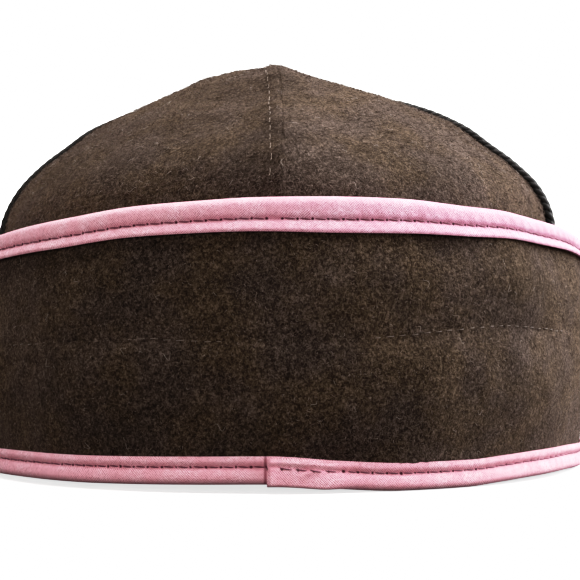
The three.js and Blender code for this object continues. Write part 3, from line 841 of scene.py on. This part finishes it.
def bindingSections(angle, edge, bound, lip):
    upright = -1 if edge == 1 else 1
    base = bandEdge(angle, edge)
    valleyHeight = base + upright * binding["stitchShare"] * bound
    valleyLine = besideBand(angle, band["thickness"] + 1, valleyHeight)
    run = lengthAlong(np.vstack([valleyLine, valleyLine[:1]]), 0)
    count = round(run[-1] / binding["stitchPitch"])
    run = run[:-1] * (count / run[-1])           # in stitches
    bound = (bound + 0 * angle)[:, None]
    depth = bound * faceLevels[None, :]
    outside = band["thickness"] + clothGap
    sway = 1 + binding["wander"] * 0.4 * ripples(besideHem(angle, 1.0, base), 17)[:, None]
    face = outside + bindingFace(depth, bound, run[:, None], lip) * sway
    crest = rounded(depth / binding["crestReach"])
    out = between(band["thickness"] / 2, face, crest)
    inside = -clothGap - binding["wall"]
    # over the fold, down the inner face, and back up along the band's wool to the outer face
    innerDepth = np.concatenate([
        0.12 + 0 * bound, 0.6 + 0 * bound, 1.7 + 0 * bound, bound * 0.6, bound,
        bound, 0.9 + 0 * bound, 0.9 + 0 * bound, bound * 0.97], 1)
    innerOut = np.array([
        0.1, -0.75, inside, inside - 0.1, inside + 0.1,
        -clothGap, -clothGap, outside, outside])
    out = np.concatenate([out, innerOut + 0 * innerDepth], 1)
    depth = np.concatenate([depth, innerDepth], 1)
    height = base[:, None] + upright * depth
    points = besideBand(angle[:, None], out, height)
    path = lengthAlong(points, 1)
    valleyAt = int(np.argmin(np.abs(faceLevels - binding["stitchShare"])))
    fromValley = path - path[:, [valleyAt]]
    cloth = np.stack([run[:, None] * binding["stitchPitch"] + 0 * path, fromValley], -1)
    return points, cloth, valleyAt, count


bindingStitch = {"pitch": binding["stitchPitch"], "seen": 0.80, "radius": 0.20, "dive": 0.22,
                 "proud": 0.15, "rings": 7, "uneven": 0.10, "slant": -0.3}
mauveThread = threadMaterial("mauve thread")
cottons = {name: cottonMaterial(name, binding["stitchPitch"]) for name in ("upper", "lower")}
angle = np.linspace(0, 360, binding["around"], endpoint=False)
closed = np.append(angle, 360)
for name, edge, bound in (("upper", 1, bandEdge(angle, 3)), ("lower", 2, binding["lowerBound"])):
    points, cloth, valleyAt, count = bindingSections(angle, edge, bound, name)
    verts, faces = ringBody(points)
    piece = makeMesh("cotton_binding_" + name, verts, faces, cottons[name], cloth,
                     count * binding["stitchPitch"])
    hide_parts("binding_" + name)
    line = np.vstack([points[:, valleyAt], points[:1, valleyAt]])
    look = dict(bindingStitch, pitch=lengthAlong(line, 0)[-1] / count)
    sew("binding_stitches_" + name, line, hemPoint(closed, 1.0)[1], look, mauveThread)
lowerRun = np.append(cloth[:, 0, 0] / binding["stitchPitch"], count)
print("the bindings are sewn on")


# folded end of the lower binding, lapped over its start at the centre back

lap = {
    "from": -12.6, "to": -0.02, "columns": 150, "wall": 0.95, "short": 0.55, "merge": 10.0,
    "foldRise": 0.28, "foldWidth": 1.3, "overlap": 0.06, "drop": 0.62,
    "levels": [1, 0.985, 0.95, 0.9, 0.84, 0.78, 0.72, 0.675, 0.64, 0.60, 0.55, 0.47, 0.38, 0.28, 0.18, 0.1,
               0.04],
    "stitchRow": 8,                              # of the levels, where the stitches run
    "tuck": (-5.3, 3.7, 1.9, 0.5, 0.46),         # angle, depth, half length, half width, height
    "tuckWay": (0.93, 0.36), "tuckHollow": (0.8, 0.7),       # its slope; depth and distance of its hollow
    "valley": (0.42, 0.5), "foldDip": (0.60, 0.50), "lipDip": 0.65,
}
lapAngle = np.linspace(lap["from"], lap["to"], lap["columns"])
lapRun = lengthAlong(besideHem(lapAngle, 5.0, bandEdge(lapAngle, 2)), 0)[:, None]
fromFold = lapRun[-1] - lapRun                   # mm from the folded end
over = smooth(0, lap["merge"], lapRun)           # 0 where it grows out of the binding, 1 where it lies on it
stitchRun = np.interp(lapAngle + 360, closed, lowerRun)[:, None]
bound = binding["lowerBound"]
depth = (bound - lap["short"] * smooth(2, 12, lapRun)) * np.array([lap["levels"]])
valley = binding["stitchShare"] * bound
below = band["thickness"] + clothGap + bindingFace(depth, bound + 0 * depth, stitchRun, "lower")
crest = rounded(depth / binding["crestReach"])
below = between(band["thickness"] / 2, below, crest)
lapFace = band["thickness"] + clothGap + binding["wall"] + clothGap
rise = lap["wall"] + binding["swell"] * np.sin(math.pi * np.clip(depth / valley, 0, 1)) ** 0.7
rise = rise + binding["lean"]["lower"] * np.clip(1 - depth / valley, 0, 1) * 0.8
valleyDeep, valleyWide = lap["valley"]
rise = rise - valleyDeep * bell(depth - valley - 0.35, valleyWide) * smooth(0.2, 1.4, fromFold)
rise = rise + lap["foldRise"] * bell(fromFold - 0.7, lap["foldWidth"])
tuckAngle, tuckDepth, tuckLong, tuckWide, tuckHigh = lap["tuck"]
tuckAt = np.interp(tuckAngle, lapAngle, lapRun[:, 0])
ahead, aside = lap["tuckWay"]
alongTuck = (lapRun - tuckAt) * ahead - (depth - tuckDepth) * aside
acrossTuck = (lapRun - tuckAt) * aside + (depth - tuckDepth) * ahead
hollowDeep, hollowAway = lap["tuckHollow"]
crease = bell(acrossTuck, tuckWide) - hollowDeep * bell(acrossTuck - hollowAway, tuckWide)
rise = rise + tuckHigh * bell(alongTuck, tuckLong) * crease
dipDeep, dipWide = lap["foldDip"]
rise = rise - dipDeep * bell(fromFold, dipWide) - lap["lipDip"] * smooth(bound - 1.5, bound - 0.4, depth)
lapOut = between(below - lap["overlap"], lapFace + rise, over)
# the last four rows go over the lower edge and a little way up behind it
drop = between(0.15, lap["drop"], lapRun / lapRun[-1])
wrap = between(np.array([[0.30, 0.35, 0.40, 0.45]]), np.array([[-0.6, -1, -1, -0.93]]) * drop, over)
wrapOut = between(np.array([[1.6, 1.3, 1.1, 0.8]]),
                  np.array([[lapFace + 0.25, band["thickness"] * 0.9, band["thickness"] * 0.5, 0.2]]), over)
depth = np.concatenate([depth, wrap], 1)
lapOut = np.concatenate([lapOut, wrapOut], 1)
cloak = 0.06 + (lap["wall"] - 0.12) * over       # how thick the cloth is
height = bandEdge(lapAngle, 2)[:, None] + depth
outer = besideBand(lapAngle[:, None], lapOut, height)
isWrap = np.arange(depth.shape[1])[None, :] >= len(lap["levels"])
height = height + cloak * isWrap
innerOut = lapOut - cloak * ~isWrap
inner = besideBand(lapAngle[:, None], innerOut, height)
path = lengthAlong(outer, 1)
fromValley = path - path[:, [lap["stitchRow"]]]
cloth = np.stack([stitchRun * binding["stitchPitch"] + 0 * path, fromValley], -1)
points, faces = sheetBody(outer, inner)
piece = makeMesh("cotton_binding_lap", points, faces, cottons["lower"],
                 np.concatenate([cloth, cloth]))
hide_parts("binding_lower_lap")
showing = over[:, 0] > 0.5
line, lineNormals = outer[showing, lap["stitchRow"]], hemPoint(lapAngle[showing], 1.0)[1]
sew("binding_stitches_lap", line, lineNormals, bindingStitch, mauveThread)
print("the binding's end is lapped")


# peak: plain, with a rounded edge and two rows of stitching

peak = {
    "thickness": 3.2, "rootHalfAngle": 56, "rootGap": 1.3, "rimSquareness": 2.35, "cornerWidth": 1.4,
    "rootHeight": (2.3, 9.6), "rimHeight": (1.8, 6.4), "arch": 1.3,      # corner, middle
    "columns": 150, "rows": 60, "edgeRound": 1.7,
    "stitchRows": (4.5, 9.0), "grooveDepth": 0.35, "felting": (0.05, 2.6), "softDents": (0.18, 20),
}


def peakPoint(forward, across):
    turn = between(-1.0, 1.0, across)
    share = np.maximum(np.cos(turn * math.pi / 2), 0)
    side = np.sin(turn * math.pi / 2)
    bend = 2 / peak["rimSquareness"]
    root = besideHem(180 + turn * peak["rootHalfAngle"], peak["rootGap"] + 0 * turn, 0 * turn)
    corner = besideHem(np.array(180.0 - peak["rootHalfAngle"]), np.array(peak["rootGap"]), 0.0)
    front = -cap["halfLength"] - cap["peakLength"]
    rim = np.stack([-np.sign(side) * corner[0] * np.abs(side) ** bend,
                    between(corner[1] - peak["cornerWidth"], front, share ** bend), 0 * side], -1)
    root[..., 2] = between(*peak["rootHeight"], share ** 2)
    rim[..., 2] = between(*peak["rimHeight"], share ** 2)
    point = between(root, rim, forward[..., None])
    point[..., 2] += peak["arch"] * np.sin(math.pi * forward) * share
    return point


forward = np.linspace(0, 1, peak["rows"])[:, None]
forward = 1 - (1 - forward) ** 1.5
across = np.linspace(0, 1, peak["columns"])[None, :]
sheet = peakPoint(forward + 0 * across, across + 0 * forward)
toRim = lengthAlong(sheet[::-1], 0)[::-1]
toRoot = lengthAlong(sheet, 0)
edge = np.minimum(toRim, toRoot + 0.4)
fullness = rounded(np.maximum(edge / peak["edgeRound"], 0.02))      # never quite thin as nothing
half = peak["thickness"] / 2 * fullness
relief = sum(rise * ripples(sheet, size) for rise, size in (peak["felting"], peak["softDents"]))
relief = relief - peak["grooveDepth"] * sum(bell(toRim - row, 0.7) for row in peak["stitchRows"])
outer, inner = sheet.copy(), sheet.copy()
outer[..., 2] += half + relief * fullness
inner[..., 2] -= half - relief * fullness * 0.5
cloth = np.stack([sheet[..., 0], sheet[..., 1]], -1)
points, faces = sheetBody(outer, inner)
piece = makeMesh("peak_wool", points, faces, peakWool, np.concatenate([cloth, cloth]))
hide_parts("peak")
peakGrid = outer
peakStitch = {"pitch": 3.2, "seen": 0.7, "radius": 0.16, "dive": 0.25, "proud": 0.08, "rings": 6,
              "uneven": 0.12, "slant": 0.05}
lines = []
for row in peak["stitchRows"]:
    inside = [j for j in range(peak["columns"]) if toRim[0, j] > row + 3]
    line = np.array([[np.interp(-row, -toRim[:, j], outer[:, j, k]) for k in range(3)] for j in inside])
    lines.append(tubeBodies(*stitchLines(line, np.tile([0, 0, 1.0], (len(line), 1)), peakStitch), sides=6))
points = np.vstack([lines[0][0], lines[1][0]])
shift = len(lines[0][0])
faces = lines[0][1] + [[k + shift for k in face] for face in lines[1][1]]
makeMesh("peak_stitches", points, faces, quiltThread)
print("the peak is stitched")


# nap: short hairs that stand out of the wool, and longer pale ones caught in it

nap = {
    "hairs": {"back": 8500, "other": 1600, "band": 9000, "peak": 2000},
    "fuzz": {"back": 2400, "other": 400, "band": 3800, "peak": 500},
    "length": (0.7, 2.1), "radius": (0.035, 0.080), "lie": (0.45, 0.97), "fuzzLength": 0.62,
    "hairSpread": 1.6, "lintSpread": 3.0, "lowest": 57,
    "lint": {"back": 110, "other": 20, "band": 200, "peak": 20},
    "lintLength": (1.0, 3.4), "lintRadius": 0.045, "lintRings": 8, "lintBend": 0.40,
    "lintFloat": (0.22, 0.25), "lintThinned": 0.6,
}


def combed(normal, rise, spread):      # directions in the cloth, mostly downwards
    side = np.cross(normal, rise)
    turn = dice.normal(size=(len(rise), 1)) * spread
    return unit(-rise * np.cos(turn) + side * np.sin(turn))


def outwardFrom(base, normal):
    return normal * np.sign(np.einsum("ij,ij->i", normal, base - [0, 0, 30]))[:, None]


def napOn(name, grid, kind, keep=None):
    for part, shorter, colour in (("hairs", 1.0, napHair), ("fuzz", nap["fuzzLength"], fuzzHair)):
        count = nap[part][kind]
        base, normal, rise = scatter(grid, count, keep)
        normal = outwardFrom(base, normal)
        length = dice.uniform(*nap["length"], count) * shorter
        radius = dice.uniform(*nap["radius"], count)
        lie = dice.uniform(*nap["lie"], count)
        heading = combed(normal, rise, nap["hairSpread"])
        points, faces = hairBodies(base, normal, heading, length, radius, lie)
        makeMesh("nap_" + part + "_" + name, points, faces, colour)


def lintOn(name, grid, count, keep=None):
    base, normal, rise = scatter(grid, count, keep)
    normal = outwardFrom(base, normal)
    heading = combed(normal, rise, nap["lintSpread"])
    side = np.cross(normal, heading)
    share = np.linspace(0, 1, nap["lintRings"])[None, :, None]
    length = dice.uniform(*nap["lintLength"], (count, 1, 1)) * dice.uniform(0.5, 1, (count, 1, 1))
    bend, turn = dice.normal(size=(2, count, 1, 1)) * nap["lintBend"]
    lines = base[:, None] + heading[:, None] * length * share
    aside = bend * np.sin(math.pi * share) + turn * np.sin(2 * math.pi * share) / 2
    lines = lines + side[:, None] * length * aside
    low, arch = nap["lintFloat"]
    lines = lines + normal[:, None] * (low + arch * np.sin(math.pi * share) * dice.random((count, 1, 1)))
    thick = 1 - nap["lintThinned"] * np.abs(2 * share[..., 0] - 1) ** 3
    radii = nap["lintRadius"] * np.broadcast_to(thick, lines.shape[:2])
    points, faces = tubeBodies(lines, radii, np.broadcast_to(normal[:, None], lines.shape), sides=3)
    makeMesh("lint_" + name, points, faces, lintHair)


for name, (grid, _) in crownGrids.items():
    kind = "back" if name.startswith("back") else "other"
    keep = grid[..., 2] > nap["lowest"]
    napOn(name, grid, kind, keep)
    lintOn(name, grid, nap["lint"][kind], keep)
napOn("ear_band", bandGrid.transpose(1, 0, 2), "band")
lintOn("ear_band", bandGrid.transpose(1, 0, 2), nap["lint"]["band"])
napOn("peak", peakGrid, "peak")
lintOn("peak", peakGrid, nap["lint"]["peak"])
print("the nap is raised")


# floor, lights and camera

studio = {
    "floorSize": 6.0, "floorTone": (0.88, 0.88, 0.87), "floorBounce": (0.12, 0.11, 0.105), "floorGlow": 0.55,
    "key": {"from": (-0.84, -0.19, 0.51), "strength": 5.75, "spread": 60, "tint": (0.985, 0.985, 1.01)},
    "top": {"from": (0.05, 0.0, 1.0), "strength": 2.7, "spread": 50, "tint": (1.0, 0.98, 0.965)},
    "side": {"from": (0.70, 0.35, 0.62), "strength": 0.40, "spread": 60, "tint": (1.0, 0.98, 0.96)},
    "fill": {"from": (0.0, 0.99, 0.12), "strength": 1.15, "spread": 24, "tint": (1.0, 0.94, 0.90)},
    "worldSeen": 2.0, "worldLight": 0.02,
    # scene light in, picture light out: deep darks, pale cloth held back
    "film": [(0, 0), (0.025, 0.0085), (0.05, 0.024), (0.08, 0.0487), (0.12, 0.0894), (0.18, 0.164),
             (0.26, 0.285), (0.36, 0.45), (0.46, 0.61), (0.56, 0.735), (0.7, 0.86), (0.85, 0.95), (1, 1)],
}


def paleFloor():
    material, tree, shader = newMaterial("pale floor")
    shader.inputs["Base Color"].default_value = (*studio["floorTone"], 1)
    shader.inputs["Roughness"].default_value = 0.9
    dull = node(tree, "BsdfDiffuse", {"Color": (*studio["floorBounce"], 1)})     # throws little light back up
    seen = node(tree, "LightPath").outputs["Is Camera Ray"]
    shader.inputs["Emission Color"].default_value = (1, 1, 1, 1)
    shader.inputs["Emission Strength"].default_value = studio["floorGlow"]
    both = node(tree, "MixShader", {0: seen, 1: dull.outputs[0], 2: shader.outputs[0]})
    tree.links.new(both.outputs[0], tree.nodes["Material Output"].inputs["Surface"])
    return material


mesh = bpy.data.meshes.new("floor")
half = studio["floorSize"] / 2
mesh.from_pydata([(-half, -half, 0), (half, -half, 0), (half, half, 0), (-half, half, 0)], [], [(0, 1, 2, 3)])
floor = addObject("floor", mesh)
mesh.materials.append(paleFloor())

for name in ("key", "top", "side", "fill"):
    look = studio[name]
    lamp = bpy.data.lights.new(name, "SUN")
    lamp.energy = look["strength"]
    lamp.angle = math.radians(look["spread"])
    lamp.color = look["tint"]
    holder = addObject(name, lamp)
    holder.rotation_mode = "QUATERNION"
    holder.rotation_quaternion = Vector(look["from"]).to_track_quat("Z", "Y")

world = bpy.data.worlds.new("studio")
bpy.context.scene.world = world
world.use_nodes = True
tree = world.node_tree
tree.nodes.clear()
seen = node(tree, "Background", {"Color": (1, 1, 1, 1), "Strength": studio["worldSeen"]})
lit = node(tree, "Background", {"Color": (1, 1, 1, 1), "Strength": studio["worldLight"]})
path = node(tree, "LightPath")
mix = node(tree, "MixShader", {0: path.outputs["Is Camera Ray"], 1: lit.outputs[0], 2: seen.outputs[0]})
node(tree, "OutputWorld", {"Surface": mix.outputs[0]})

lens = {
    "away": (-11.8, 481.9), "height": 40.0,      # mm from the middle of the head opening
    "pixels": 1550, "imageSide": 580, "sensor": 36.0,
    "horizonAt": (278, 327),                     # where the level line to the cap's middle meets the picture
}
sight = Vector((-lens["away"][0], -lens["away"][1], 0)).normalized()
right = sight.cross(Vector((0, 0, 1)))
centre = lens["imageSide"] / 2
yaw = math.atan((centre - lens["horizonAt"][0]) / lens["pixels"])
pitch = math.atan((lens["horizonAt"][1] - centre) / lens["pixels"])
aim = sight * math.cos(yaw) * math.cos(pitch) + right * math.sin(yaw) * math.cos(pitch)
aim = aim + Vector((0, 0, math.sin(pitch)))
camera = addObject("camera", bpy.data.cameras.new("camera"))
camera.data.sensor_width = lens["sensor"]
camera.data.lens = lens["pixels"] / lens["imageSide"] * lens["sensor"]
camera.data.clip_start = 0.01
camera.location = [(lens["away"][k] + middle[k]) / 1000 for k in (0, 1)] + [lens["height"] / 1000]
camera.rotation_mode = "QUATERNION"
camera.rotation_quaternion = aim.to_track_quat("-Z", "Y")
bpy.context.scene.camera = camera

film = bpy.context.scene.view_settings
film.view_transform = "Standard"
film.use_curve_mapping = True
film.curve_mapping.extend = "HORIZONTAL"
curve = film.curve_mapping.curves[3]
for point, place in zip(curve.points, (studio["film"][0], studio["film"][-1])):
    point.location = place
for place in studio["film"][1:-1]:
    curve.points.new(*place)
film.curve_mapping.update()
most = max(triangles, key=triangles.get)
print("the studio is set up:", sum(triangles.values()), "triangles, the most in", most, triangles[most])
